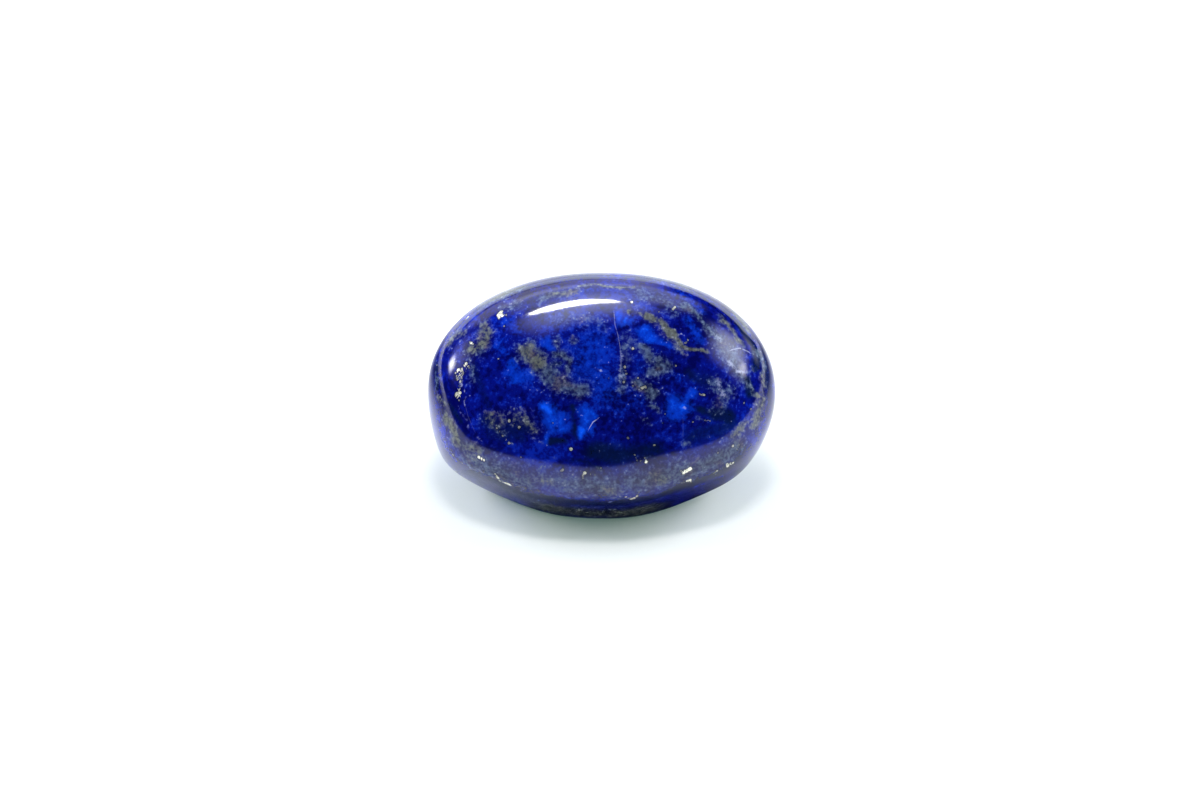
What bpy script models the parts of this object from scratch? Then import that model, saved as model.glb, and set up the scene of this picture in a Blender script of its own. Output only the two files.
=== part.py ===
"""Polished lapis lazuli: one tumbled stone that leans back on a small flat spot.

The stone is one solid. Its form is a rounded pebble: an outline seen face on, a gentle crown on the
front face, a fuller back, a few broad places where tumbling wore it down or left it proud, and soft
edged flats along the underside and the ends.
Metres, +Z up, +X along the stone, the broad face towards -Y. The origin is at the centre of the base.
"""
import math

import bmesh
import bpy
from mathutils import Matrix, Vector

MM = 0.001

# Driving dimensions of the pebble, measured from its core point.
HALF_LENGTH = 17.6 * MM
HALF_WIDTH = 13.1 * MM
FRONT_CROWN = 8.35 * MM
BACK_CROWN = 11.35 * MM
CORE_HEIGHT = 10.5 * MM

# How the broad face leans: up from level, and the small roll of the long axis in the face.
FACE_LEAN = math.radians(36.1)
LONG_AXIS_ROLL = math.radians(-1.0)

# Roundness: 2 is an ellipse, and more is squarer.
OUTLINE_POWER = 2.2
FRONT_POWER = 2.15
BACK_POWER = 2.2

# Worn (negative) and proud (positive) places: azimuth from the front towards +X, elevation,
# spread of the place in degrees, and height in millimetres.
WORN_AND_PROUD = {
    "lower_front": (0, -14, 24, 0.1),
    "lower_front_right": (50, -8, 34, 0.1),
    "underside_front_right": (48, -35, 26, -1.0),
    "underside_left": (-85, -60, 32, -1.3),
    "underside_right": (85, -60, 32, -0.6),
    "keel": (0, -60, 30, 0.75),
    "keel_right": (45, -55, 24, 0.45),
    "left_end": (-80, -25, 26, 1.2),
    "left_shoulder": (-109, 46, 26, -0.35),
    "brow": (0, 75, 28, -0.3),
    "upright_back": (180, -5, 50, -1.4),
    "full_underside_back": (180, -55, 32, 0.8),
}

# Flats that wore on it: azimuth and elevation of the flat's outward direction in degrees, and its
# distance from the core point in millimetres.
WORN_FLATS = {
    "underside_front": (-3, -32.5, 11.1),
    "underside_front_left": (-30, -32.5, 12.6),
    "underside_front_right": (22, -33, 11.8),
    "left_end": (-69, -4, 16.8),
    "lower_right_end": (57, -13, 15.8),
}

# How sharply a flat meets the round surface beside it: more is sharper.
FLAT_EDGE_POWER = 22.0

# Mesh fineness of the solid.
SPHERE_SUBDIVISIONS = 5


def direction(azimuth, elevation):
    """Unit vector at an azimuth from the front (-Y) towards +X and an elevation, in degrees."""
    around = math.radians(azimuth)
    up = math.radians(elevation)
    return Vector((math.cos(up) * math.sin(around), -math.cos(up) * math.cos(around), math.sin(up)))


def pebble_axes():
    """Long axis, width axis and face axis of the leaning pebble."""
    face = Vector((0.0, -math.cos(FACE_LEAN), math.sin(FACE_LEAN)))
    roll = Matrix.Rotation(LONG_AXIS_ROLL, 3, face)
    long_axis = roll @ Vector((1.0, 0.0, 0.0))
    width_axis = face.cross(long_axis)
    return long_axis, width_axis, face


def stone_radius(toward, axes):
    """Distance from the core point to the stone's surface along a unit direction."""
    long_axis, width_axis, face = axes
    along = abs(toward.dot(long_axis)) / HALF_LENGTH
    across = abs(toward.dot(width_axis)) / HALF_WIDTH
    outward = toward.dot(face)
    crown, power = (FRONT_CROWN, FRONT_POWER) if outward > 0.0 else (BACK_CROWN, BACK_POWER)
    outline = (along ** OUTLINE_POWER + across ** OUTLINE_POWER) ** (1.0 / OUTLINE_POWER)
    radius = (outline ** power + (abs(outward) / crown) ** power) ** (-1.0 / power)
    for azimuth, elevation, spread, height in WORN_AND_PROUD.values():
        away = math.degrees(toward.angle(direction(azimuth, elevation), 0.0))
        radius += height * MM * math.exp(-(away / spread) ** 2)
    worn = 1.0
    for azimuth, elevation, distance in WORN_FLATS.values():
        reach = max(toward.dot(direction(azimuth, elevation)), 0.0)
        worn += (radius * reach / (distance * MM)) ** FLAT_EDGE_POWER
    return radius * worn ** (-1.0 / FLAT_EDGE_POWER)


def cut_flat_spot(mesh):
    """Take off what lies below the ground and close the cut with one flat face."""
    everything = mesh.verts[:] + mesh.edges[:] + mesh.faces[:]
    cut = bmesh.ops.bisect_plane(
        mesh, geom=everything, dist=1e-7, plane_co=(0.0, 0.0, 0.0), plane_no=(0.0, 0.0, -1.0), clear_outer=True
    )
    rim = [edge for edge in cut["geom_cut"] if isinstance(edge, bmesh.types.BMEdge)]
    bmesh.ops.contextual_create(mesh, geom=rim)
    bmesh.ops.recalc_face_normals(mesh, faces=mesh.faces[:])


def centre_over_origin(mesh):
    """Move the stone level until its box is centred over the origin."""
    xs = [vertex.co.x for vertex in mesh.verts]
    ys = [vertex.co.y for vertex in mesh.verts]
    shift = Vector((-(min(xs) + max(xs)) / 2.0, -(min(ys) + max(ys)) / 2.0, 0.0))
    bmesh.ops.translate(mesh, verts=mesh.verts[:], vec=shift)


def stone_mesh():
    """The pebble from a sphere whose points are pushed out to the stone's surface."""
    mesh = bmesh.new()
    bmesh.ops.create_icosphere(mesh, subdivisions=SPHERE_SUBDIVISIONS, radius=1.0)
    axes = pebble_axes()
    core = Vector((0.0, 0.0, CORE_HEIGHT))
    for vertex in mesh.verts:
        toward = vertex.co.normalized()
        vertex.co = core + toward * stone_radius(toward, axes)
    cut_flat_spot(mesh)
    centre_over_origin(mesh)
    data = bpy.data.meshes.new("lapis_stone")
    mesh.to_mesh(data)
    mesh.free()
    data.shade_smooth()
    return data


def lapis_material():
    """Deep blue polished stone."""
    material = bpy.data.materials.new("polished_lapis")
    material.use_nodes = True
    shader = material.node_tree.nodes["Principled BSDF"]
    shader.inputs["Base Color"].default_value = (0.012, 0.02, 0.22, 1.0)
    shader.inputs["Roughness"].default_value = 0.12
    shader.inputs["Metallic"].default_value = 0.0
    return material


def clear_scene():
    """Start from an empty scene."""
    for item in list(bpy.data.objects):
        bpy.data.objects.remove(item, do_unlink=True)


def main():
    clear_scene()
    collection = bpy.data.collections.new("lapis_lazuli")
    bpy.context.scene.collection.children.link(collection)
    stone = bpy.data.objects.new("lapis_stone", stone_mesh())
    stone.data.materials.append(lapis_material())
    collection.objects.link(stone)


main()
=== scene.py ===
"""Polished lapis lazuli stone: its fine surface, its markings and a plain studio."""
import math

import bmesh
import bpy
import numpy as np
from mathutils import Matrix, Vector, noise
from mathutils.bvhtree import BVHTree


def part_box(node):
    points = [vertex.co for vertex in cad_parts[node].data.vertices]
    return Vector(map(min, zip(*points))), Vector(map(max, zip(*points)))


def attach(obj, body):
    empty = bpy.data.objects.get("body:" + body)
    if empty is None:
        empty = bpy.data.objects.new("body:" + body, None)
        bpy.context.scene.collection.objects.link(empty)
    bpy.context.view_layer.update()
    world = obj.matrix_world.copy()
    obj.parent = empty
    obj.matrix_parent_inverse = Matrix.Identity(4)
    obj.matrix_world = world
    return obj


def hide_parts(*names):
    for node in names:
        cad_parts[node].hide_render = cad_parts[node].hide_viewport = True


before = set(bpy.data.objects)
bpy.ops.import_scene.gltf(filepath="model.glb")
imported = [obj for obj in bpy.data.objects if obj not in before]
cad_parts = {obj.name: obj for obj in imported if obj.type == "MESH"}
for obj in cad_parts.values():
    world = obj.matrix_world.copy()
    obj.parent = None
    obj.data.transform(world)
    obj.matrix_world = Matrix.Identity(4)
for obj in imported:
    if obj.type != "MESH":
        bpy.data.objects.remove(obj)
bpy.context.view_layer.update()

MM = 0.001
NODE = "lapis_stone"

# The pebble's driving dimensions, the same as in the CAD part.
HALF_LENGTH = 17.6 * MM
HALF_WIDTH = 13.1 * MM
FRONT_CROWN = 8.35 * MM
BACK_CROWN = 11.35 * MM
CORE_HEIGHT = 10.5 * MM
FACE_LEAN = math.radians(36.1)
LONG_AXIS_ROLL = math.radians(-1.0)
OUTLINE_POWER = 2.2
FRONT_POWER = 2.15
BACK_POWER = 2.2
WORN_AND_PROUD = {
    "lower_front": (0, -14, 24, 0.1),
    "lower_front_right": (50, -8, 34, 0.1),
    "underside_front_right": (48, -35, 26, -1.0),
    "underside_left": (-85, -60, 32, -1.3),
    "underside_right": (85, -60, 32, -0.6),
    "keel": (0, -60, 30, 0.75),
    "keel_right": (45, -55, 24, 0.45),
    "left_end": (-80, -25, 26, 1.2),
    "left_shoulder": (-109, 46, 26, -0.35),
    "brow": (0, 75, 28, -0.3),
    "upright_back": (180, -5, 50, -1.4),
    "full_underside_back": (180, -55, 32, 0.8),
}
WORN_FLATS = {
    "underside_front": (-3, -32.5, 11.1),
    "underside_front_left": (-30, -32.5, 12.6),
    "underside_front_right": (22, -33, 11.8),
    "left_end": (-69, -4, 16.8),
    "lower_right_end": (57, -13, 15.8),
}
FLAT_EDGE_POWER = 22.0
CUTS_PER_CUBE_EDGE = 119
SPOT_EDGE_ROUNDING = 0.08 * MM

# The photograph's frame, and the camera that takes it.
PHOTO_WIDTH = 1200
PHOTO_HEIGHT = 800
SENSOR_WIDTH = 36.0
NEAREST_SEEN = 0.01
CAMERA_DISTANCE = 0.45
CAMERA_ELEVATION = math.radians(40.0)
FRAME_WIDTH_AT_STONE = 120.7 * MM
CAMERA_TARGET = Vector((-0.15 * MM, 0.0, 10.05 * MM))
PIXEL_ON_STONE = FRAME_WIDTH_AT_STONE / PHOTO_WIDTH
STONE_CENTRE = (601, 395)

# A pixel that just misses the stone moves towards the stone's centre, in steps of this share.
INWARD_STEP = 0.005
INWARD_STEPS = 60

# Uneven edges of the marks: lumps per metre, and how far they push. The seed makes them repeat.
RAGGED_SEED = 1
BROAD_RAGS_PER_METRE = 450.0
BROAD_RAG_PUSH = 0.55 * MM
FINE_RAGS_PER_METRE = 1300.0
FINE_RAG_PUSH = 0.25 * MM

# How far from a vein its distance and its strength are stored, and the half width stored elsewhere.
VEIN_DISTANCE_MM = 1.0
VEIN_STRENGTH_MM = 0.45
NO_VEIN_WIDTH_MM = 0.05

# The radius of a fleck is stored this far past twice that radius.
FLECK_MARGIN = 0.25 * MM

# Sides that the photograph doesn't show: they start at this cosine between the surface's normal and the
# direction to the camera, and are fully hidden where it has fallen by this much.
UNSEEN_START = 0.1
UNSEEN_FALL = 0.2

# Keeps a piece of a line that has no length from dividing by zero.
TINY = 1e-18

# Marks where the photograph shows them. A stroke is a line of pixels of that frame, its half width in
# pixels, and its strength. A mark's field falls to half of its strength at the half width, which is about
# where a mark of strength 1 ends.
AZURE = {
    "pair_left": ([(549, 411), (550, 426)], 10, 0.8),
    "pair_left_top": ([(543, 406), (548, 414)], 6, 1.0),
    "pair_left_foot": ([(546, 430), (544, 439)], 4, 0.7),
    "pair_left_side": ([(561, 416), (563, 429)], 7, 0.75),
    "pair_right": ([(587, 412), (586, 425)], 8, 0.8),
    "pair_right_top": ([(589, 411), (592, 416)], 5, 0.85),
    "pair_right_side": ([(578, 431), (581, 427)], 3.5, 1.1),
    "right": ([(676, 402), (680, 412), (686, 407)], 10, 0.75),
    "right_core": ([(684, 405), (687, 409)], 4, 0.95),
    "right_top": ([(691, 396), (696, 392)], 6, 0.7),
    "by_crack": ([(618, 314), (622, 322), (629, 320)], 6, 0.95),
    "below_spindle": ([(644, 330), (650, 338)], 7, 0.85),
    "below_spindle_end": ([(661, 341), (669, 346)], 5, 0.7),
    "beside_core": ([(547, 341), (550, 350)], 5, 0.7),
    "left_of_core": ([(511, 363), (514, 378), (527, 379)], 7, 0.7),
    "above_highlight": ([(572, 294), (592, 292)], 5, 0.5),
    "right_of_highlight": ([(634, 300), (650, 310)], 7, 0.45),
    "upper_right": ([(688, 322), (694, 333), (699, 338)], 6, 0.55),
    "left_middle": ([(497, 345), (505, 350)], 9, 0.45),
    "upper_left": ([(507, 321), (519, 330)], 9, 0.52),
    "left_shoulder": ([(475, 317), (483, 322)], 6, 0.45),
    "upper_right_band": ([(674, 291), (690, 301), (702, 312)], 8, 0.5),
    "upper_middle": ([(552, 322), (598, 324)], 12, 0.5),
    "middle": ([(596, 340), (588, 368), (606, 388)], 24, 0.48),
    "low_middle": ([(612, 410), (640, 400)], 14, 0.32),
    "right_middle": ([(640, 366), (680, 378)], 10, 0.35),
}
MATRIX = {
    "core_top": ([(531, 344), (537, 352)], 8, 0.75),
    "core": ([(526, 352), (534, 358), (537, 366)], 10, 1.0),
    "core_left": ([(516, 359), (520, 362)], 5, 0.6),
    "tail": ([(542, 369), (556, 378), (568, 386), (580, 389)], 9, 0.86),
    "tail_foot": ([(572, 392), (582, 396)], 6, 0.5),
    "bridge": ([(552, 356), (562, 357), (570, 362), (569, 372)], 5, 0.85),
    "stem": ([(555, 338), (557, 350)], 4, 0.55),
    "spot": ([(572, 339), (575, 342)], 4, 0.7),
    "crumb": ([(583, 329), (588, 331)], 4, 0.5),
    "ell_top": ([(645, 349), (650, 357)], 7, 0.9),
    "ell_middle": ([(660, 364), (654, 372), (666, 368)], 7, 0.85),
    "ell_foot": ([(637, 382), (646, 386), (655, 395)], 7, 0.82),
    "crack_strip": ([(624, 347), (624, 364), (622, 378), (619, 388)], 5, 0.65),
    "purple_grey": ([(624, 337), (633, 344)], 9, 0.5),
    "low_left_brown": ([(489, 417), (500, 419), (497, 428)], 9, 0.55),
    "low_left_olive": ([(514, 416), (527, 419), (532, 431)], 9, 0.44),
    "left_band": ([(483, 325), (484, 337), (481, 350), (470, 352)], 8, 0.8),
    "left_band_foot": ([(467, 358), (472, 368), (472, 380)], 6, 0.5),
    "upper_left_edge": ([(447, 345), (455, 335), (464, 333)], 6, 0.7),
    "left_edge": ([(435, 364), (437, 380), (436, 392)], 5, 0.6),
    "top_left": ([(482, 305), (497, 296), (520, 289)], 9, 0.85),
    "top_rim": ([(545, 278), (575, 275), (605, 274)], 4, 0.8),
    "top_rim_right": ([(640, 277), (668, 281), (690, 289)], 4, 0.8),
    "top_rim_end": ([(680, 281), (708, 293), (730, 309), (747, 327)], 6, 0.8),
    "left_of_highlight": ([(504, 308), (516, 304)], 6, 0.6),
    "above_highlight": ([(540, 299), (552, 294), (575, 291)], 6, 0.75),
    "above_highlight_line": ([(582, 286), (604, 286), (632, 288)], 2.5, 0.8),
    "below_highlight": ([(555, 322), (585, 321), (604, 324)], 6, 0.5),
    "spindle_thin_start": ([(631, 312), (645, 317)], 2, 1.0),
    "spindle": ([(646, 317), (654, 321), (665, 329), (673, 335)], 3.5, 1.3),
    "spindle_thin_end": ([(673, 335), (684, 343), (696, 346), (707, 352)], 2.8, 1.1),
    "spindle_shadow": ([(664, 334), (676, 346), (684, 352)], 5, 0.5),
    "top_middle": ([(640, 293), (664, 300), (672, 312)], 9, 0.55),
    "top_right": ([(672, 287), (682, 291)], 4, 0.5),
    # These two strokes are grey matrix and, in part, painted reflection of the right-hand light.
    "matrix_and_painted_reflection_band": ([(684, 305), (697, 316), (709, 329), (721, 340)], 6, 0.8),
    "matrix_and_painted_reflection_body": ([(722, 344), (732, 358), (742, 376)], 11, 0.66),
    "right_streak": ([(719, 317), (729, 327), (736, 338), (742, 346)], 3.5, 0.95),
    "right_rim_top": ([(758, 352), (765, 366)], 5, 0.8),
    "right_rim_middle": ([(764, 374), (762, 390)], 5, 0.7),
    "right_rim_streak": ([(750, 388), (757, 397)], 3, 0.8),
    "right_rim_olive": ([(762, 400), (759, 412), (755, 426)], 6, 0.9),
    "low_right_speckled": ([(716, 388), (726, 394), (716, 404)], 10, 0.66),
    "low_right_edge": ([(747, 421), (744, 430), (734, 438)], 5, 0.75),
    "left_rim_olive": ([(445, 418), (450, 424), (458, 440)], 6, 0.9),
    "left_rim_brown": ([(439, 398), (444, 406)], 5, 0.7),
    "left_foot": ([(454, 441), (466, 446), (478, 453)], 7, 0.75),
    # The front_band strokes are grey matrix and, in part, painted reflection of the pale table that the band
    # faces.
    "front_band_left": ([(468, 460), (500, 472), (530, 481)], 15, 0.72),
    "front_band_middle": ([(545, 480), (580, 486), (612, 487)], 15, 0.66),
    "front_band_right": ([(636, 484), (660, 478), (690, 472)], 15, 0.74),
    "front_band_end": ([(700, 466), (718, 458), (738, 447)], 12, 0.8),
    "foot_left": ([(505, 491), (530, 500), (556, 508)], 12, 0.6),
    "foot_line": ([(556, 511), (600, 514), (645, 510)], 20, 0.62),
    "small_brown": ([(643, 459), (646, 463)], 3, 0.85),
    "small_olive": ([(653, 407), (658, 408)], 3.5, 0.7),
    "small_grey": ([(644, 419), (647, 424)], 3.5, 0.6),
    "small_foot": ([(599, 467), (604, 469)], 3, 0.7),
    "small_right": ([(696, 421), (706, 423)], 3, 0.55),
    "small_band": ([(684, 443), (690, 444)], 3.5, 0.5),
}
OLIVE = {
    "core": ([(528, 350), (537, 362)], 10, 0.9),
    "low_left": ([(492, 419), (502, 420), (522, 419), (530, 430)], 10, 1.0),
    "spindle": ([(636, 314), (654, 322), (673, 336), (690, 345), (707, 352)], 7, 1.4),
    "left_band": ([(483, 326), (484, 340), (470, 352)], 9, 0.8),
    "left_rims": ([(439, 398), (447, 421), (456, 440)], 8, 1.0),
    "upper_left_edge": ([(447, 345), (464, 333)], 7, 0.8),
    "top_left": ([(484, 303), (520, 288)], 7, 0.7),
    "above_highlight": ([(552, 294), (575, 290), (632, 288)], 6, 0.8),
    "top_right": ([(664, 280), (690, 290)], 5, 0.7),
    "top_rim_end": ([(690, 284), (730, 309), (747, 327)], 7, 0.7),
    "right_rim": ([(762, 378), (761, 402), (755, 426)], 9, 1.2),
    "right_streak": ([(724, 321), (739, 342)], 6, 0.9),
    "low_right_edge": ([(748, 424), (738, 436)], 7, 0.8),
    "left_foot": ([(466, 447), (478, 456)], 8, 0.7),
    "foot": ([(530, 503), (600, 514), (650, 508)], 20, 0.8),
    "band_spots": ([(536, 478), (548, 482)], 8, 0.7),
    "band_spot_right": ([(655, 474), (664, 480)], 8, 0.7),
    "band_spot_foot": ([(608, 488), (616, 492)], 7, 0.6),
}
DARK = {
    "below_pair": ([(551, 442), (563, 442)], 5, 0.85),
    "between_pair": ([(572, 408), (573, 432)], 4, 0.8),
    "low_middle": ([(590, 452), (630, 454), (655, 448)], 13, 0.75),
    "low_left_gap": ([(511, 431), (520, 437)], 7, 0.6),
    "low_left": ([(488, 424), (500, 433), (525, 426)], 13, 0.6),
    "low_right": ([(702, 410), (716, 414), (730, 418)], 8, 0.85),
    "right_of_ell": ([(690, 372), (706, 384)], 8, 0.6),
    "right_rim_gap": ([(737, 323), (747, 337), (755, 350), (757, 368)], 6, 1.0),
    "right_rim_low": ([(747, 380), (751, 396)], 6, 0.9),
    "left_rim_gap": ([(437, 366), (438, 390)], 5, 0.8),
    "left_rim_low": ([(449, 406), (459, 420)], 5, 0.7),
    "left_of_middle": ([(476, 368), (480, 392), (486, 404)], 8, 0.55),
    # The dark spot in a small pit is painted shade.
    "pit_painted_shade": ([(552, 366), (559, 366)], 3.5, 0.7),
    # The underside and front_edge strokes are painted shade: they darken the underside where it faces the
    # shaded table beneath the stone.
    "underside_left": ([(500, 490), (530, 501)], 14, 0.5),
    "underside": ([(550, 508), (600, 513), (652, 508)], 24, 0.9),
    "underside_right": ([(676, 497), (700, 489)], 14, 0.5),
    "right_rim": ([(763, 352), (768, 372), (769, 395)], 11, 0.7),
    "left_rim": ([(434, 362), (433, 385)], 11, 0.5),
    "front_edge_left": ([(472, 472), (505, 487), (545, 498)], 11, 0.75),
    "front_edge": ([(545, 498), (600, 504), (650, 498)], 11, 0.85),
    "front_edge_right": ([(650, 498), (700, 481), (737, 462)], 11, 0.75),
    "low_right_foot": ([(690, 436), (715, 431), (735, 423)], 10, 0.6),
    "foot_left": ([(600, 468), (575, 462)], 5, 0.6),
    "foot_right": ([(640, 456), (650, 460)], 6, 0.7),
}
PALE = {
    "left_streak": ([(457, 404), (463, 416), (470, 428), (480, 440)], 3.5, 0.5),
    "left_line": ([(465, 388), (466, 404)], 1.3, 0.8),
    "left_fleck_foot": ([(459, 380), (460, 386)], 2.5, 1.0),
    "crack_side": ([(621, 352), (620, 372), (624, 384)], 2.5, 0.6),
    # These two strokes are painted reflection: the bright streaks of the right-hand light.
    "painted_reflection_core": ([(728, 362), (735, 368), (744, 371)], 4, 0.75),
    "painted_reflection_top": ([(716, 336), (724, 344), (727, 354)], 4, 0.6),
    "right_lilac": ([(686, 407), (688, 408)], 1.5, 0.8),
    "right_speckles": ([(717, 386), (722, 396)], 4, 0.6),
    # A thin pale line along the front edge, painted reflection of the bright table in front of the stone's
    # shadow.
    "front_line_painted_reflection": ([(600, 502), (613, 501)], 1.8, 0.9),
    "spindle_spark": ([(683, 342), (690, 345)], 2, 0.7),
    "middle_sparks": ([(594, 369), (602, 371)], 2, 0.7),
}
VEINS = {
    "crack_upper": ([(614, 312), (615, 325), (618, 335), (620, 346)], 0.3, 0.36),
    "crack_lower": ([(620, 346), (621, 358), (621, 366), (620, 377)], 0.3, 0.3),
    "scratch": ([(596, 420), (593, 422), (590, 427)], 0.45, 0.75),
    # This pale arc is painted reflection of the right-hand light.
    "painted_reflection_arc": ([(731, 350), (740, 348), (749, 352)], 0.6, 0.5),
    "left_hairline": ([(465, 404), (468, 416), (474, 430)], 0.35, 0.06),
    "foot_hairline": ([(683, 419), (683, 436)], 0.35, 0.06),
}

# Pyrite flecks: pixel, and radius in pixels.
FLECKS = {
    "top_left": [(499, 315, 2.3), (501, 312, 1.7), (502, 316, 1.6), (499, 318, 1.2), (506, 315, 0.8)],
    "rim_left": [(468, 317, 1.4), (466, 319, 1.0), (437, 365, 1.0), (440, 397, 0.9), (453, 455, 1.0)],
    "left": [(471, 343, 1.5), (473, 344, 1.0), (470, 342, 0.9), (498, 359, 1.0), (504, 326, 0.8)],
    "left_pair": [(466, 364, 1.4), (469, 368, 0.8)],
    "left_cluster": [(458, 370, 1.4), (462, 369, 1.2), (456, 373, 1.0), (463, 373, 0.9), (460, 375, 1.1)],
    "left_cluster_foot": [(457, 378, 0.9), (462, 378, 1.0), (460, 382, 1.3), (459, 386, 0.8)],
    "left_single": [(457, 394, 1.7), (460, 393, 1.8), (456, 396, 1.1), (459, 400, 0.9)],
    "low_left_matrix": [(509, 421, 1.2), (519, 427, 1.1), (497, 428, 0.9), (503, 436, 0.9), (509, 443, 1.1)],
    "band_left": [(479, 457, 1.8), (484, 460, 1.5), (462, 463, 0.8), (512, 443, 0.7)],
    "band_left_long": [(495, 474, 1.0), (498, 478, 1.5), (500, 481, 1.1)],
    "band_left_bar": [(505, 483, 1.4), (508, 484, 1.8), (510, 485, 1.3)],
    "middle_foot": [(571, 449, 1.4), (563, 470, 1.0), (561, 471, 0.8), (595, 475, 0.7), (601, 468, 0.9)],
    "middle_band": [(585, 473, 1.4), (583, 475, 0.9), (583, 478, 0.8)],
    "wedge": [(631, 499, 1.4), (634, 498, 1.9), (637, 496, 1.2), (626, 497, 1.2), (639, 492, 0.7)],
    "largest": [(690, 469, 2.4), (687, 471, 1.9), (684, 473, 1.5), (681, 471, 0.8)],
    "below_largest": [(687, 481, 1.4), (690, 480, 1.5), (691, 482, 1.0), (682, 483, 0.8)],
    "band_right": [(728, 466, 1.6), (727, 464, 1.2), (733, 463, 1.4), (735, 467, 0.7), (717, 471, 1.2)],
    "band_end": [(733, 446, 1.1), (739, 445, 0.8), (737, 449, 0.9), (718, 453, 0.7), (714, 473, 0.9)],
    "low_middle": [(654, 445, 1.1), (635, 455, 0.9), (646, 462, 1.5), (645, 458, 0.8), (637, 460, 0.6)],
    "crack": [(633, 348, 1.2), (625, 367, 1.1), (626, 374, 0.9), (624, 382, 1.0), (632, 302, 1.2)],
    "ell": [(638, 378, 1.0), (642, 388, 1.2), (645, 387, 1.1), (633, 386, 0.7), (676, 366, 0.8)],
    "spindle": [(675, 307, 1.2), (673, 309, 1.0), (688, 340, 0.9), (685, 343, 0.8), (659, 312, 0.6)],
    "right": [(700, 394, 0.8), (704, 395, 1.1), (710, 421, 1.0), (705, 420, 0.6), (693, 422, 0.6)],
    "right_end": [(744, 403, 0.7), (751, 409, 0.7), (609, 378, 0.7)],
    "azure_sparks": [(553, 423, 0.7), (665, 414, 0.7), (662, 423, 0.6), (521, 457, 0.6), (628, 438, 0.7)],
}

# Colours of the stone, as linear red, green and blue.
NAVY = (0.0005, 0.0012, 0.065, 1.0)
DEEP_BLUE = (0.0008, 0.0035, 0.15, 1.0)
ROYAL_BLUE = (0.0015, 0.014, 0.31, 1.0)
AZURE_BLUE = (0.0008, 0.032, 0.46, 1.0)
AZURE_LIGHT = (0.002, 0.08, 0.78, 1.0)
# Green-black is also painted shade on the underside, along the front edge and in a pit.
DARK_GREEN_BLUE = (0.0012, 0.006, 0.022, 1.0)
MATRIX_GREY = (0.062, 0.09, 0.145, 1.0)
MATRIX_OLIVE = (0.11, 0.12, 0.08, 1.0)
MATRIX_BROWN = (0.075, 0.058, 0.052, 1.0)
# Pale lilac is also painted reflection: the right-hand light's streaks and a pale line along the front edge.
PALE_LILAC = (0.36, 0.38, 0.58, 1.0)
PYRITE = (0.88, 0.86, 0.73)

# Noise: size of its lumps, detail, roughness, distortion, and a shift that sets it apart from the rest.
NOISES = {
    "broad": (4.0 * MM, 3.0, 0.6, 0.0, 0.0),
    "patchy": (1.3 * MM, 3.0, 0.6, 0.3, 1.7),
    "grain": (0.32 * MM, 2.0, 0.6, 0.0, 3.1),
    "dust": (0.14 * MM, 1.0, 0.5, 0.0, 5.3),
    "azure": (2.6 * MM, 3.0, 0.6, 0.5, 8.0),
    "dark": (3.4 * MM, 2.0, 0.6, 0.3, 11.0),
    "matrix": (3.6 * MM, 4.0, 0.62, 0.8, 14.0),
    "brown": (0.8 * MM, 2.0, 0.5, 0.0, 17.0),
}

# The blue's tone is the sum of these parts of the noises.
TONE_PARTS = {"broad": 0.8, "patchy": 0.7, "grain": 0.8, "dust": 0.5}

# Marks on the hidden sides: the noise that they follow, where they start and are full, their strength.
HIDDEN_MARKS = {
    "azure": ("azure", 0.56, 0.70, 0.9),
    "dark": ("dark", 0.50, 0.66, 0.8),
    "matrix": ("matrix", 0.50, 0.66, 0.95),
    "olive": ("broad", 0.45, 0.6, 1.0),
}

# How far each noise pushes the edges of a kind of mark. A vein's push is in millimetres, a placed fleck's
# in metres and a spare fleck's in cells.
PUSHES = {
    "azure": {"patchy": 0.28, "grain": 0.34, "dust": 0.3},
    "dark": {"patchy": 0.3, "grain": 0.25},
    "matrix": {"patchy": 0.38, "grain": 0.5, "dust": 0.6},
    "olive": {"patchy": 0.3, "grain": 0.3},
    "cloud": {"grain": 0.35, "dust": 0.4},
    "spark": {"dust": 1.0, "patchy": 0.35},
    "vein": {"grain": 0.04},
    "placed_fleck": {"grain": 0.1 * MM, "dust": 0.15 * MM},
    "spare_fleck": {"grain": 0.12},
}

# The values at which each look starts and is full, and how strong it then is where that isn't 1.
LOOKS = {
    "royal_tone": (1.14, 1.66),
    "azure": (0.22, 0.85),
    "light_azure": (0.7, 1.15),
    "dark": (0.25, 0.85, 0.85),
    "matrix": (0.22, 0.95),
    "olive": (0.2, 0.8),
    "brown": (0.56, 0.66, 0.7),
    "bright_dust": (0.35, 0.7, 0.58),
    "bright_grain": (0.35, 0.7, 0.42),
    "cloud": (0.4, 0.95, 0.75),
    "spark": (0.46, 0.66, 0.3),
    "vein": (-0.025, 0.025),
    "unbroken_vein": (0.25, 0.5),
    "placed_fleck": (-0.02 * MM, 0.03 * MM),
    "fleck_rim": (-0.16 * MM, -0.02 * MM),
    "large_fleck": (0.08 * MM, 0.15 * MM, 0.75),
    "bright_pyrite": (0.3, 0.6, 0.5),
    "chosen_cell": (0.84, 0.85),
}

# Least brightnesses, covers and other values that are the same all over the stone.
LEAST_MATRIX_BRIGHTNESS = 0.5
MATRIX_COVER = 0.8
SPARKS_IN_MATRIX = 0.12
LEAST_PYRITE_BRIGHTNESS = 0.55
LEAST_FLECK_COVER = 0.25
RIM_COVER = 0.55
SMALLEST_FLECK = 0.04 * MM
FLECK_METAL = 0.6

# Flecks that no list places lie in the cells of a grid. Their least radius and its spread are in cells.
SPARE_CELLS_PER_METRE = 480.0
SPARE_LEAST_RADIUS = 0.04
SPARE_RADIUS_SPREAD = 0.10

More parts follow.
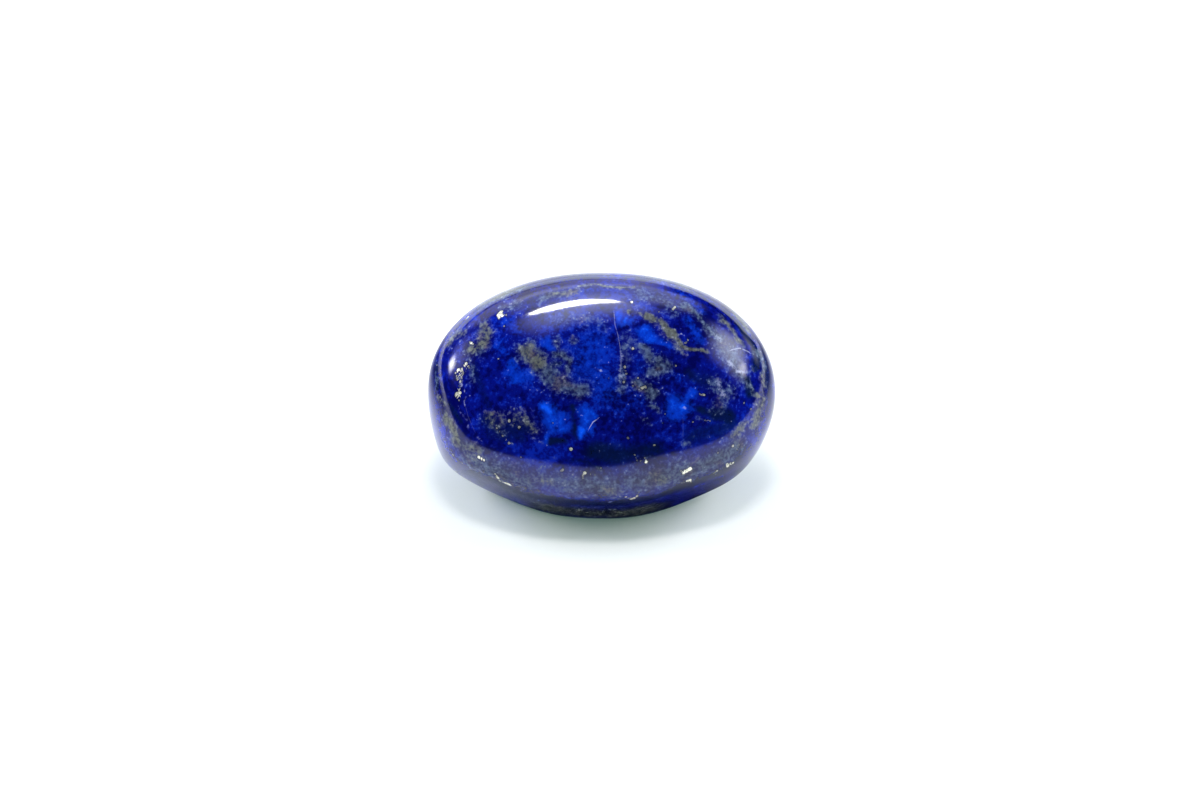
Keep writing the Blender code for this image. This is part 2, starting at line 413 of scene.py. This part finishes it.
# Roughness of the polish, and what the matrix, flecks and grain add to it.
POLISH_ROUGHNESS = 0.085
MATRIX_ROUGHNESS = 0.07
FLECK_ROUGHNESS = 0.22
GRAIN_ROUGHNESS = 0.03

# Depth of the fine relief that the grain makes, and the parts of dust and of the matrix's grain in it.
RELIEF_DEPTH = 0.0012 * MM
DUST_RELIEF = 0.6
MATRIX_RELIEF = 1.2

# The studio, in metres. A light's brightness is its radiance.
STUDIO_AIM = Vector((0.0, 0.0, 0.01))
FILL_COLOUR = (0.86, 0.95, 1.0, 1.0)
FILL_STRENGTH = 0.62
WHITE = (1.0, 1.0, 1.0)
COOL_WHITE = (0.92, 0.96, 1.0)
GREENISH_WHITE = (0.92, 0.98, 1.0)
SKY_WHITE = (0.88, 0.96, 1.0)
BLUE_WHITE = (0.85, 0.92, 1.0)

# Lights for the table and the stone that the polish doesn't mirror: place, size, brightness, colour.
SCENE_LIGHTS = {
    "overhead_key": ((0.0, -0.05, 0.5), (0.12, 0.06), 37.0, WHITE),
    "left_side": ((-0.45, 0.2, 0.2), (0.4, 0.3), 12.0, COOL_WHITE),
    "right_side": ((0.45, 0.2, 0.2), (0.4, 0.3), 12.0, COOL_WHITE),
}

# The crisp highlight, an ellipse that only the polish mirrors: the same with its shape, and its turn.
STRIP = ((-0.09, 0.146, 0.5), (0.235, 0.075), 38.0, WHITE, "ELLIPSE")
STRIP_TURN = math.radians(-28.0)

# Soft panels that only the polish mirrors: place, size, brightness, colour, and the share of the size over
# which they fade at each edge.
SOFT_PANELS = {
    "strip_glow": ((-0.06, 0.09, 0.5), (0.5, 0.36), 5.0, BLUE_WHITE, 0.45),
    "softbox": ((0.0, 0.4, 0.52), (0.9, 0.5), 2.25, SKY_WHITE, 0.25),
    "left_card": ((-0.474, 0.067, 0.16), (0.145, 0.11), 24.0, WHITE, 0.45),
    "left_haze": ((-0.46, 0.06, 0.24), (0.42, 0.28), 1.9, COOL_WHITE, 0.45),
    "right_card": ((0.42, 0.01, 0.31), (0.46, 0.34), 6.2, GREENISH_WHITE, 0.42),
    "right_haze": ((0.44, 0.205, 0.12), (0.24, 0.18), 1.9, COOL_WHITE, 0.45),
    "right_core": ((0.45, -0.05, 0.205), (0.13, 0.08), 9.0, WHITE, 0.4),
    "back_card": ((0.0, 0.9, 0.15), (2.2, 0.3), 2.3, SKY_WHITE, 0.05),
    "back_wall": ((-0.4, 1.2, 0.75), (2.0, 0.7), 1.5, WHITE, 0.2),
}

# The pale table gives off a faint green light, for the tint of the photograph's glossy sheet.
TABLE_SIZE = (3.0, 3.0)
TABLE_ROUGHNESS = 0.5
TABLE_COLOUR = (0.8, 0.775, 0.78, 1.0)
TABLE_GLOW = (0.0, 0.05, 0.015, 1.0)

# Black cards beside and under the stone that only its polish mirrors: middle and size. The card under the
# stone is painted shade, the shaded table under its overhang as the polish mirrors it.
DARK_CARDS = {
    "left_dark_card": ((-0.075, 0.027, 0.0005), (0.14, 0.085)),
    "right_dark_card": ((0.085, 0.032, 0.0005), (0.13, 0.09)),
    "under_painted_shade_card": ((0.002, -0.003, 0.0003), (0.035, 0.024)),
}
CARD_COLOUR = (0.02, 0.02, 0.03, 1.0)
CARD_ROUGHNESS = 1.0

# A card fades out over this share of the way from its edge to its middle.
CARD_FADE = 0.6


def direction(azimuth, elevation):
    """Unit vector at an azimuth from the front (-Y) towards +X and an elevation, in degrees."""
    around = math.radians(azimuth)
    up = math.radians(elevation)
    return np.array((math.cos(up) * math.sin(around), -math.cos(up) * math.cos(around), math.sin(up)))


def pebble_axes():
    """Long axis, width axis and face axis of the leaning pebble."""
    face = np.array((0.0, -math.cos(FACE_LEAN), math.sin(FACE_LEAN)))
    level = np.array((1.0, 0.0, 0.0))
    upward = np.cross(face, level)
    long_axis = math.cos(LONG_AXIS_ROLL) * level + math.sin(LONG_AXIS_ROLL) * upward
    width_axis = np.cross(face, long_axis)
    return long_axis, width_axis, face


def stone_radius(toward):
    """Distance from the core point to the stone's surface along each unit direction."""
    long_axis, width_axis, face = pebble_axes()
    along = np.abs(toward @ long_axis) / HALF_LENGTH
    across = np.abs(toward @ width_axis) / HALF_WIDTH
    outward = toward @ face
    crown = np.where(outward > 0.0, FRONT_CROWN, BACK_CROWN)
    power = np.where(outward > 0.0, FRONT_POWER, BACK_POWER)
    outline = (along ** OUTLINE_POWER + across ** OUTLINE_POWER) ** (1.0 / OUTLINE_POWER)
    radius = (outline ** power + (np.abs(outward) / crown) ** power) ** (-1.0 / power)
    for azimuth, elevation, spread, height in WORN_AND_PROUD.values():
        away = np.degrees(np.arccos(np.clip(toward @ direction(azimuth, elevation), -1.0, 1.0)))
        radius = radius + height * MM * np.exp(-((away / spread) ** 2))
    worn = np.ones(len(toward))
    for azimuth, elevation, distance in WORN_FLATS.values():
        reach = np.maximum(toward @ direction(azimuth, elevation), 0.0)
        worn = worn + (radius * reach / (distance * MM)) ** FLAT_EDGE_POWER
    return radius * worn ** (-1.0 / FLAT_EDGE_POWER)


def new_stone():
    """The fine stone: a subdivided cube blown out to the pebble, set into the CAD solid's box."""
    mesh = bmesh.new()
    bmesh.ops.create_cube(mesh, size=2.0)
    bmesh.ops.subdivide_edges(mesh, edges=mesh.edges[:], cuts=CUTS_PER_CUBE_EDGE, use_grid_fill=True)
    data = bpy.data.meshes.new("lapis")
    mesh.to_mesh(data)
    mesh.free()
    points = np.empty(len(data.vertices) * 3)
    data.vertices.foreach_get("co", points)
    cube = points.reshape(-1, 3)
    even = np.tan(cube * math.pi / 4.0)
    toward = even / np.linalg.norm(even, axis=1, keepdims=True)
    points = toward * stone_radius(toward)[:, None]
    points[:, 2] += CORE_HEIGHT
    points[:, 2] = 0.5 * (points[:, 2] + np.sqrt(points[:, 2] ** 2 + SPOT_EDGE_ROUNDING ** 2))
    low, high = (np.array(corner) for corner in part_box(NODE))
    mine_low = points.min(0)
    mine_high = points.max(0)
    points = low + (points - mine_low) * (high - low) / (mine_high - mine_low)
    data.vertices.foreach_set("co", points.ravel())
    data.update()
    data.shade_smooth()
    stone = bpy.data.objects.new("lapis", data)
    bpy.context.scene.collection.objects.link(stone)
    return stone


def new_camera():
    """A long lens that looks down on the stone from the front."""
    data = bpy.data.cameras.new("camera")
    data.sensor_width = SENSOR_WIDTH
    data.lens = SENSOR_WIDTH * CAMERA_DISTANCE / FRAME_WIDTH_AT_STONE
    data.clip_start = NEAREST_SEEN
    camera = bpy.data.objects.new("camera", data)
    back = Vector((0.0, -math.cos(CAMERA_ELEVATION), math.sin(CAMERA_ELEVATION)))
    camera.location = CAMERA_TARGET + back * CAMERA_DISTANCE
    camera.rotation_euler = back.to_track_quat("Z", "Y").to_euler()
    bpy.context.scene.collection.objects.link(camera)
    bpy.context.scene.camera = camera
    return camera


def surface_of(stone):
    """The stone's points and normals as arrays, and a tree for rays on to it."""
    data = stone.data
    points = np.empty(len(data.vertices) * 3)
    normals = np.empty(len(data.vertices) * 3)
    data.vertices.foreach_get("co", points)
    data.vertices.foreach_get("normal", normals)
    faces = [tuple(face.vertices) for face in data.polygons]
    points = points.reshape(-1, 3)
    tree = BVHTree.FromPolygons([Vector(point) for point in points], faces)
    return points, normals.reshape(-1, 3), tree


def place_of_pixel(tree, camera, pixel):
    """The point of the stone that the camera sees at a pixel, and the surface's normal there."""
    x, y = pixel
    turn = camera.matrix_world.to_3x3()
    per_pixel = SENSOR_WIDTH / camera.data.lens / PHOTO_WIDTH
    for step in range(INWARD_STEPS):
        inward = 1.0 - INWARD_STEP * step
        right = (STONE_CENTRE[0] + (x - STONE_CENTRE[0]) * inward - PHOTO_WIDTH / 2) * per_pixel
        up = (PHOTO_HEIGHT / 2 - STONE_CENTRE[1] - (y - STONE_CENTRE[1]) * inward) * per_pixel
        ray = turn @ Vector((right, up, -1.0)).normalized()
        hit, normal, _, _ = tree.ray_cast(camera.matrix_world.translation, ray)
        if hit is not None:
            return np.array(hit), np.array(normal)
    raise ValueError(f"pixel {pixel} is off the stone")


def distance_to_piece(points, start, end):
    """Distance of each point from a straight piece of a line."""
    along = end - start
    share = np.clip((points - start) @ along / (along @ along + TINY), 0.0, 1.0)
    return np.linalg.norm(points - start - share[:, None] * along, axis=1)


def distance_to_line(points, line):
    """Distance of each point from a line through two or more points."""
    pieces = zip(line[:-1], line[1:])
    return np.min([distance_to_piece(points, start, end) for start, end in pieces], axis=0)


def ragged(points):
    """The points, pushed about a little, so that marks measured from them have uneven edges."""
    noise.seed_set(RAGGED_SEED)
    pushed = np.empty_like(points)
    for index, point in enumerate(points):
        broad = noise.noise_vector(Vector(point * BROAD_RAGS_PER_METRE))
        fine = noise.noise_vector(Vector(point * FINE_RAGS_PER_METRE))
        pushed[index] = point + np.array(broad * BROAD_RAG_PUSH + fine * FINE_RAG_PUSH)
    return pushed


def mark_field(points, tree, camera, strokes):
    """Strength of a kind of mark at each point, from the strongest of its strokes there."""
    field = np.zeros(len(points))
    for line, half_width, strength in strokes.values():
        places = [place_of_pixel(tree, camera, pixel)[0] for pixel in line]
        away = distance_to_line(points, places) / (half_width * PIXEL_ON_STONE)
        field = np.maximum(field, strength * 0.5 ** (away ** 2))
    return field


def vein_fields(points, tree, camera):
    """Distance from the nearest vein, signed by side, its strength and its half width, in millimetres."""
    nearest = np.full(len(points), VEIN_DISTANCE_MM)
    signed = np.full(len(points), VEIN_DISTANCE_MM)
    strength = np.zeros(len(points))
    width = np.full(len(points), NO_VEIN_WIDTH_MM)
    for line, half_width, force in VEINS.values():
        places = [place_of_pixel(tree, camera, pixel) for pixel in line]
        for (start, normal), (end, _) in zip(places[:-1], places[1:]):
            away = distance_to_piece(points, start, end) / MM
            side = np.sign(np.cross(end - start, points - start) @ normal)
            closer = away < nearest
            nearest = np.where(closer, away, nearest)
            signed = np.where(closer, away * side, signed)
            strength = np.where(closer & (away < VEIN_STRENGTH_MM), force, strength)
            width = np.where(closer, half_width * PIXEL_ON_STONE / MM, width)
    return signed, strength, width


def fleck_fields(points, tree, camera):
    """Place of the nearest fleck, and its radius or zero away from it."""
    flecks = [fleck for group in FLECKS.values() for fleck in group]
    nearest = np.full(len(points), np.inf)
    place = np.zeros((len(points), 3))
    size = np.zeros(len(points))
    for x, y, radius in flecks:
        centre, _ = place_of_pixel(tree, camera, (x, y))
        reach = radius * PIXEL_ON_STONE
        away = np.linalg.norm(points - centre, axis=1) - reach
        closer = away < nearest
        nearest = np.where(closer, away, nearest)
        place[closer] = centre
        size = np.where(closer, np.where(away < reach + FLECK_MARGIN, reach, 0.0), size)
    return place, size


def lay_marks(stone, camera):
    """Store the marks' fields with the stone's points."""
    bpy.context.view_layer.update()
    points, normals, tree = surface_of(stone)
    pushed = ragged(points)
    to_camera = np.array(camera.matrix_world.translation) - points
    to_camera /= np.linalg.norm(to_camera, axis=1, keepdims=True)
    facing = (normals * to_camera).sum(1)
    vein, vein_strength, vein_width = vein_fields(points, tree, camera)
    fleck_place, fleck_size = fleck_fields(points, tree, camera)
    numbers = {
        "azure": mark_field(pushed, tree, camera, AZURE),
        "matrix": mark_field(pushed, tree, camera, MATRIX),
        "olive": mark_field(pushed, tree, camera, OLIVE),
        "dark": mark_field(pushed, tree, camera, DARK),
        "pale": mark_field(pushed, tree, camera, PALE),
        "vein": vein,
        "vein_strength": vein_strength,
        "vein_width": vein_width,
        "fleck_size": fleck_size,
        "unseen": np.clip((UNSEEN_START - facing) / UNSEEN_FALL, 0.0, 1.0),
    }
    for name, values in numbers.items():
        layer = stone.data.attributes.new(name, "FLOAT", "POINT")
        layer.data.foreach_set("value", values.astype(np.float32))
    layer = stone.data.attributes.new("fleck_place", "FLOAT_VECTOR", "POINT")
    layer.data.foreach_set("vector", fleck_place.astype(np.float32).ravel())


class Graph:
    """Adds shader nodes to a material or a light and links them."""

    def __init__(self, owner):
        self.tree = owner.node_tree

    def node(self, kind, **settings):
        made = self.tree.nodes.new(kind)
        for name, value in settings.items():
            setattr(made, name, value)
        return made

    def feed(self, socket, value):
        """Link an output to the socket, or set the socket to a constant."""
        if isinstance(value, bpy.types.NodeSocket):
            self.tree.links.new(value, socket)
        else:
            socket.default_value = value

    def math(self, operation, *values):
        made = self.node("ShaderNodeMath", operation=operation)
        for socket, value in zip(made.inputs, values):
            self.feed(socket, value)
        return made.outputs[0]

    def total(self, *values):
        result = values[0]
        for value in values[1:]:
            result = self.math("ADD", result, value)
        return result

    def times(self, *values):
        result = values[0]
        for value in values[1:]:
            result = self.math("MULTIPLY", result, value)
        return result

    def rise(self, value, low, high, top=1.0):
        """0 below low and top above high, smooth between them."""
        made = self.node("ShaderNodeMapRange", interpolation_type="SMOOTHSTEP")
        self.feed(made.inputs["Value"], value)
        made.inputs["From Min"].default_value = low
        made.inputs["From Max"].default_value = high
        made.inputs["To Max"].default_value = top
        return made.outputs["Result"]

    def sway(self, value, amount):
        """A noise value turned into a push of about plus or minus the amount."""
        return self.math("MULTIPLY", self.math("SUBTRACT", value, 0.5), amount * 2.0)

    def noise(self, size, detail=2.0, roughness=0.55, distortion=0.0, shift=0.0):
        """Noise with lumps of about this size in metres."""
        made = self.node("ShaderNodeTexNoise", noise_dimensions="4D")
        self.feed(made.inputs["Vector"], self.place())
        made.inputs["W"].default_value = shift
        made.inputs["Scale"].default_value = 0.5 / size
        made.inputs["Detail"].default_value = detail
        made.inputs["Roughness"].default_value = roughness
        made.inputs["Distortion"].default_value = distortion
        return made.outputs["Fac"]

    def place(self):
        """The stone's own coordinates in metres."""
        return self.node("ShaderNodeTexCoord").outputs["Object"]

    def number(self, name):
        """A number that is stored with the stone's points."""
        made = self.node("ShaderNodeAttribute", attribute_type="GEOMETRY", attribute_name=name)
        return made.outputs["Fac"]

    def vector(self, name):
        """A vector that is stored with the stone's points."""
        made = self.node("ShaderNodeAttribute", attribute_type="GEOMETRY", attribute_name=name)
        return made.outputs["Vector"]

    def blend(self, share, first, second):
        """Colour between the first and the second."""
        made = self.node("ShaderNodeMix", data_type="RGBA")
        self.feed(made.inputs[0], share)
        self.feed(made.inputs[6], first)
        self.feed(made.inputs[7], second)
        return made.outputs[2]

    def dim(self, colour, brightness):
        """The colour times a brightness."""
        made = self.node("ShaderNodeVectorMath", operation="SCALE")
        self.feed(made.inputs[0], colour)
        self.feed(made.inputs["Scale"], brightness)
        return made.outputs[0]

    def three_colours(self, value, low, middle, high):
        """Colour ramp from low through middle to high."""
        first = self.blend(self.rise(value, 0.0, 0.5), low, middle)
        return self.blend(self.rise(value, 0.5, 1.0), first, high)


def uneven(graph, lumps, value, kind):
    """The value of a kind of mark, with its edges pushed about by noise."""
    return graph.total(value, *[graph.sway(lumps[name], push) for name, push in PUSHES[kind].items()])


def look(graph, value, name):
    """How strong a look is at this value."""
    return graph.rise(value, *LOOKS[name])


def marks_of(graph, lumps, kind):
    """A kind of mark, as it was laid and in lumps on the hidden sides, with uneven edges."""
    noise_name, low, high, strength = HIDDEN_MARKS[kind]
    hidden = graph.times(graph.rise(lumps[noise_name], low, high), graph.number("unseen"), strength)
    return uneven(graph, lumps, graph.math("MAXIMUM", graph.number(kind), hidden), kind)


def blue_ground(graph, lumps):
    """Navy, deep and royal blue, mixed at every scale of the noise."""
    tone = graph.total(*[graph.times(lumps[name], part) for name, part in TONE_PARTS.items()])
    return graph.three_colours(look(graph, tone, "royal_tone"), NAVY, DEEP_BLUE, ROYAL_BLUE)


def with_azure(graph, lumps, colour):
    """Bright azure patches over the colour, lightest where they are strongest."""
    azure = marks_of(graph, lumps, "azure")
    azure_blue = graph.blend(look(graph, azure, "light_azure"), AZURE_BLUE, AZURE_LIGHT)
    return graph.blend(look(graph, azure, "azure"), colour, azure_blue)


def with_dark(graph, lumps, colour):
    """Green-black patches, darker rims, and painted shade on the underside, along the front edge and in a
    pit, over the colour.
    """
    dark = marks_of(graph, lumps, "dark")
    return graph.blend(look(graph, dark, "dark"), colour, DARK_GREEN_BLUE)


def matrix_colour(graph, lumps):
    """Grey, olive and brown matrix with brighter grains."""
    olive = look(graph, marks_of(graph, lumps, "olive"), "olive")
    colour = graph.blend(olive, MATRIX_GREY, MATRIX_OLIVE)
    colour = graph.blend(look(graph, lumps["brown"], "brown"), colour, MATRIX_BROWN)
    bright_dust = look(graph, lumps["dust"], "bright_dust")
    bright_grain = look(graph, lumps["grain"], "bright_grain")
    return graph.dim(colour, graph.total(LEAST_MATRIX_BRIGHTNESS, bright_dust, bright_grain))


def vein_cover(graph, lumps):
    """How much the veins cover the colour. They break where the dust is low."""
    away = uneven(graph, lumps, graph.math("ABSOLUTE", graph.number("vein")), "vein")
    inside = look(graph, graph.math("SUBTRACT", graph.number("vein_width"), away), "vein")
    unbroken = look(graph, lumps["dust"], "unbroken_vein")
    return graph.times(inside, graph.number("vein_strength"), unbroken)


def with_pale(graph, lumps, colour, matrix):
    """Pale lilac clouds, sparks and veins over the colour. Some are painted reflection: the right-hand
    light's streaks and arc, and a pale line along the front edge.
    """
    clouds = look(graph, uneven(graph, lumps, graph.number("pale"), "cloud"), "cloud")
    sparks = graph.total(uneven(graph, lumps, 0.0, "spark"), graph.times(matrix, SPARKS_IN_MATRIX))
    pale = graph.math("MAXIMUM", clouds, look(graph, sparks, "spark"))
    pale = graph.math("MAXIMUM", pale, vein_cover(graph, lumps))
    return graph.blend(pale, colour, PALE_LILAC)


def placed_flecks(graph, lumps):
    """1 inside the listed pyrite flecks, and 1 in a rim round them."""
    offset = graph.node("ShaderNodeVectorMath", operation="SUBTRACT")
    graph.feed(offset.inputs[0], graph.place())
    graph.feed(offset.inputs[1], graph.vector("fleck_place"))
    length = graph.node("ShaderNodeVectorMath", operation="LENGTH")
    graph.feed(length.inputs[0], offset.outputs[0])
    away = uneven(graph, lumps, length.outputs["Value"], "placed_fleck")
    inside = graph.math("SUBTRACT", graph.number("fleck_size"), away)
    has_fleck = graph.math("GREATER_THAN", graph.number("fleck_size"), SMALLEST_FLECK)
    return look(graph, inside, "placed_fleck"), graph.times(look(graph, inside, "fleck_rim"), has_fleck)


def spare_flecks(graph, lumps):
    """1 inside pyrite flecks on the hidden sides, which no list places."""
    cells = graph.node("ShaderNodeTexVoronoi")
    graph.feed(cells.inputs["Vector"], graph.place())
    cells.inputs["Scale"].default_value = SPARE_CELLS_PER_METRE
    near = uneven(graph, lumps, cells.outputs["Distance"], "spare_fleck")
    pick = graph.node("ShaderNodeSeparateColor")
    graph.feed(pick.inputs[0], cells.outputs["Color"])
    chosen = look(graph, pick.outputs[0], "chosen_cell")
    radius = graph.math("MULTIPLY_ADD", pick.outputs[1], SPARE_RADIUS_SPREAD, SPARE_LEAST_RADIUS)
    return graph.times(graph.math("LESS_THAN", near, radius), chosen, graph.number("unseen"))


def with_pyrite(graph, lumps, colour, fleck, rim):
    """Pyrite flecks with dark rims over the colour. The smallest ones are the faintest."""
    colour = graph.blend(graph.times(rim, RIM_COVER), colour, DARK_GREEN_BLUE)
    brightness = graph.total(LEAST_PYRITE_BRIGHTNESS, look(graph, lumps["dust"], "bright_pyrite"))
    cover = graph.total(LEAST_FLECK_COVER, look(graph, graph.number("fleck_size"), "large_fleck"))
    return graph.blend(graph.times(fleck, cover), colour, graph.dim(PYRITE, brightness))


def polish_roughness(graph, lumps, matrix, fleck):
    """Roughness of the polish, which is duller on the matrix and on flecks."""
    duller = (graph.times(matrix, MATRIX_ROUGHNESS), graph.times(fleck, FLECK_ROUGHNESS))
    return graph.total(POLISH_ROUGHNESS, *duller, graph.sway(lumps["grain"], GRAIN_ROUGHNESS))


def relief(graph, lumps, matrix):
    """The bumped normal of the fine relief in the polish."""
    on_matrix = graph.times(matrix, lumps["grain"], MATRIX_RELIEF)
    height = graph.total(lumps["grain"], graph.times(lumps["dust"], DUST_RELIEF), on_matrix)
    bump = graph.node("ShaderNodeBump")
    bump.inputs["Strength"].default_value = 1.0
    bump.inputs["Distance"].default_value = RELIEF_DEPTH
    graph.feed(bump.inputs["Height"], height)
    return bump.outputs["Normal"]


def lapis_material():
    """Blue lazurite with azure patches, grey and olive matrix, pale veins and pyrite."""
    material = bpy.data.materials.new("polished_lapis")
    material.use_nodes = True
    graph = Graph(material)
    shader = material.node_tree.nodes["Principled BSDF"]
    lumps = {name: graph.noise(*settings) for name, settings in NOISES.items()}
    matrix = look(graph, marks_of(graph, lumps, "matrix"), "matrix")
    placed, rim = placed_flecks(graph, lumps)
    fleck = graph.math("MAXIMUM", placed, spare_flecks(graph, lumps))
    colour = blue_ground(graph, lumps)
    colour = with_azure(graph, lumps, colour)
    colour = with_dark(graph, lumps, colour)
    # The matrix colour on the front band and in the right-hand cloud is in part painted reflection.
    colour = graph.blend(graph.times(matrix, MATRIX_COVER), colour, matrix_colour(graph, lumps))
    colour = with_pale(graph, lumps, colour, matrix)
    colour = with_pyrite(graph, lumps, colour, fleck, rim)
    graph.feed(shader.inputs["Base Color"], colour)
    graph.feed(shader.inputs["Metallic"], graph.times(fleck, FLECK_METAL))
    graph.feed(shader.inputs["Roughness"], polish_roughness(graph, lumps, matrix, fleck))
    graph.feed(shader.inputs["Normal"], relief(graph, lumps, matrix))
    return material


def area_light(name, place, size, radiance, colour, shape="RECTANGLE"):
    """A light at a place, turned towards the stone, with its brightness per area."""
    data = bpy.data.lights.new(name, "AREA")
    data.shape = shape
    data.size, data.size_y = size
    data.energy = radiance * math.pi * size[0] * size[1]
    data.color = colour
    light = bpy.data.objects.new(name, data)
    light.location = place
    light.rotation_euler = (Vector(place) - STUDIO_AIM).to_track_quat("Z", "Y").to_euler()
    light.visible_camera = False
    bpy.context.scene.collection.objects.link(light)
    return light


def fade_edges(light, share):
    """Let the light's brightness fall off over this share of its size at each edge."""
    light.data.use_nodes = True
    graph = Graph(light.data)
    across = graph.node("ShaderNodeSeparateXYZ")
    graph.feed(across.inputs[0], graph.node("ShaderNodeNewGeometry").outputs["Parametric"])
    sides = []
    for axis in (0, 1):
        from_middle = graph.math("ABSOLUTE", graph.math("SUBTRACT", across.outputs[axis], 0.5))
        sides.append(graph.rise(graph.math("SUBTRACT", 0.5, from_middle), 0.0, share))
    emission = light.data.node_tree.nodes["Emission"]
    graph.feed(emission.inputs["Strength"], graph.times(*sides))


def new_studio():
    """An even fill, three lights for the scene, and the highlight and panels that the polish mirrors."""
    world = bpy.data.worlds.new("even_fill")
    world.use_nodes = True
    background = world.node_tree.nodes["Background"]
    background.inputs["Color"].default_value = FILL_COLOUR
    background.inputs["Strength"].default_value = FILL_STRENGTH
    bpy.context.scene.world = world
    world.cycles_visibility.glossy = False
    for name, settings in SCENE_LIGHTS.items():
        light = area_light(name, *settings)
        light.visible_glossy = False
    strip = area_light("strip", *STRIP)
    strip.rotation_euler.rotate_axis("Z", STRIP_TURN)
    strip.visible_diffuse = False
    for name, (place, size, radiance, colour, fade) in SOFT_PANELS.items():
        panel = area_light(name, place, size, radiance, colour)
        fade_edges(panel, fade)
        panel.visible_diffuse = False
    bpy.context.scene.view_settings.view_transform = "Standard"


def flat_sheet(name, place, size):
    """A level rectangle with its middle at a place."""
    mesh = bmesh.new()
    bmesh.ops.create_grid(mesh, x_segments=1, y_segments=1, size=0.5)
    bmesh.ops.scale(mesh, vec=(size[0], size[1], 1.0), verts=mesh.verts[:])
    data = bpy.data.meshes.new(name)
    mesh.to_mesh(data)
    mesh.free()
    sheet = bpy.data.objects.new(name, data)
    sheet.location = place
    bpy.context.scene.collection.objects.link(sheet)
    return sheet


def matte_material(name, colour, roughness):
    """A material with no sheen, and its shader."""
    material = bpy.data.materials.new(name)
    material.use_nodes = True
    shader = material.node_tree.nodes["Principled BSDF"]
    shader.inputs["Base Color"].default_value = colour
    shader.inputs["Roughness"].default_value = roughness
    shader.inputs["Specular IOR Level"].default_value = 0.0
    return material, shader


def new_table():
    """The plain pale table."""
    table = flat_sheet("table", (0.0, 0.0, 0.0), TABLE_SIZE)
    material, shader = matte_material("pale_table", TABLE_COLOUR, TABLE_ROUGHNESS)
    shader.inputs["Emission Color"].default_value = TABLE_GLOW
    shader.inputs["Emission Strength"].default_value = 1.0
    table.data.materials.append(material)


def dark_card(name, place, size):
    """A black card with soft edges, seen in the stone's polish alone."""
    card = flat_sheet(name, place, size)
    card.visible_camera = False
    card.visible_diffuse = False
    card.visible_shadow = False
    material, shader = matte_material(name, CARD_COLOUR, CARD_ROUGHNESS)
    graph = Graph(material)
    from_middle = graph.node("ShaderNodeVectorMath", operation="SUBTRACT")
    graph.feed(from_middle.inputs[0], graph.node("ShaderNodeTexCoord").outputs["Generated"])
    from_middle.inputs[1].default_value = (0.5, 0.5, 0.0)
    level = graph.node("ShaderNodeVectorMath", operation="MULTIPLY")
    graph.feed(level.inputs[0], from_middle.outputs[0])
    level.inputs[1].default_value = (2.0, 2.0, 0.0)
    length = graph.node("ShaderNodeVectorMath", operation="LENGTH")
    graph.feed(length.inputs[0], level.outputs[0])
    cover = graph.rise(graph.math("SUBTRACT", 1.0, length.outputs["Value"]), 0.0, CARD_FADE)
    mixed = graph.node("ShaderNodeMixShader")
    graph.feed(mixed.inputs[0], cover)
    graph.feed(mixed.inputs[1], graph.node("ShaderNodeBsdfTransparent").outputs[0])
    graph.feed(mixed.inputs[2], shader.outputs[0])
    graph.feed(material.node_tree.nodes["Material Output"].inputs["Surface"], mixed.outputs[0])
    card.data.materials.append(material)


new_table()
for card_name, (card_place, card_size) in DARK_CARDS.items():
    dark_card(card_name, card_place, card_size)
stone = new_stone()
camera = new_camera()
new_studio()
lay_marks(stone, camera)
stone.data.materials.append(lapis_material())

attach(stone, "root")
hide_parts(NODE)
